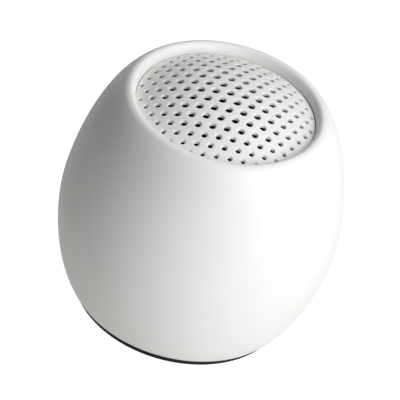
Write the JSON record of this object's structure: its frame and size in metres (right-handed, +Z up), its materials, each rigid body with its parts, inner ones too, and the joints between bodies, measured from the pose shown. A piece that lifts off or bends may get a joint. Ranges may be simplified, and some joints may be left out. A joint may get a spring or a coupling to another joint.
{
  "type": "smart speaker",
  "caption": "Palm-sized rounded white wireless speaker with a domed perforated grille set inside its rim, a dark rubber foot, and its driver, battery and boards inside.",
  "frame": {"origin": "centre of the underside, on the surface that the speaker stands on", "axes": "+Z up along the body's axis; +Y towards the charging socket at the back; +X to the right seen from the front"},
  "size_m": [0.056, 0.056, 0.0515],
  "materials": {
    "shell_plastic": "fine satin texture, warm white",
    "grille_plastic": "fine satin texture, warm white",
    "acoustic_cloth": "fine black mesh",
    "foot_rubber": "matt black with a faint teal tint",
    "black_plastic": "fine matt texture",
    "steel": "plated",
    "ferrite": "ground matt",
    "copper_winding": "lacquered",
    "cone_paper": "pressed pulp",
    "surround_rubber": "smooth matt",
    "spider_cloth": "resin-stiffened weave",
    "board_laminate": "green solder mask",
    "chip_resin": "moulded",
    "cream_plastic": "moulded",
    "clear_plastic": "frosted clear",
    "foil_pouch": "creased foil",
    "foam": "open cell",
    "wire_red": "smooth insulation",
    "wire_black": "smooth insulation"
  },
  "bodies": {
    "chassis": {"outer_shell": "shell_plastic", "grille": "grille_plastic", "grille_cloth": "acoustic_cloth", "rubber_foot": "foot_rubber", "base_plate": "black_plastic", "driver_basket": "black_plastic", "battery_cradle": "black_plastic", "tact_switch": "black_plastic", "driver_screw_1": "steel", "driver_screw_2": "steel", "driver_screw_3": "steel", "driver_screw_4": "steel", "base_screw_1": "steel", "base_screw_2": "steel", "base_screw_3": "steel", "base_screw_4": "steel", "cradle_screw_1": "steel", "cradle_screw_2": "steel", "cradle_screw_3": "steel", "cradle_screw_4": "steel", "port_screw_1": "steel", "port_screw_2": "steel", "driver_top_plate": "steel", "driver_yoke": "steel", "port_shell": "steel", "microphone": "steel", "driver_magnet": "ferrite", "microphone_boot": "surround_rubber", "driver_terminals": "spider_cloth", "main_board": "board_laminate", "port_board": "board_laminate", "bluetooth_chip": "chip_resin", "amplifier_chip": "chip_resin", "power_inductor": "chip_resin", "port_tongue": "chip_resin", "speaker_connector": "cream_plastic", "battery_connector": "cream_plastic", "ribbon_socket_main": "cream_plastic", "ribbon_socket_port": "cream_plastic", "ribbon_cable": "cream_plastic", "light_pipe": "clear_plastic", "status_led": "clear_plastic", "battery": "foil_pouch", "bulk_capacitor": "foil_pouch", "driver_gasket": "foam", "battery_pad": "foam", "speaker_wire_positive": "wire_red", "battery_wire_positive": "wire_red", "speaker_wire_negative": "wire_black", "battery_wire_negative": "wire_black"},
    "button": {"power_button": "black_plastic"},
    "plunger": {"switch_plunger": "cream_plastic"},
    "cone": {"driver_cone": "cone_paper", "dust_cap": "cone_paper", "voice_coil_former": "cream_plastic", "voice_coil": "copper_winding", "driver_surround": "surround_rubber", "driver_spider": "spider_cloth"}
  },
  "joints": [
    {"name": "button_press", "type": "slide", "parent": "chassis", "child": "button", "axis": [0, 0, 1], "range_m": [0, 0.0003], "stiffness_N_per_m": 2000},
    {"name": "plunger_press", "type": "slide", "parent": "chassis", "child": "plunger", "axis": [0, 0, 1], "range_m": [0, 0.0003]},
    {"name": "cone_travel", "type": "slide", "parent": "chassis", "child": "cone", "axis": [0, 0, 1], "range_m": [-0.0005, 0.0005], "stiffness_N_per_m": 2500, "deforming": ["driver_surround", "driver_spider"]}
  ],
  "couplings": [
    {"joint": "plunger_press", "follows": "button_press", "ratio": 1}
  ]
}
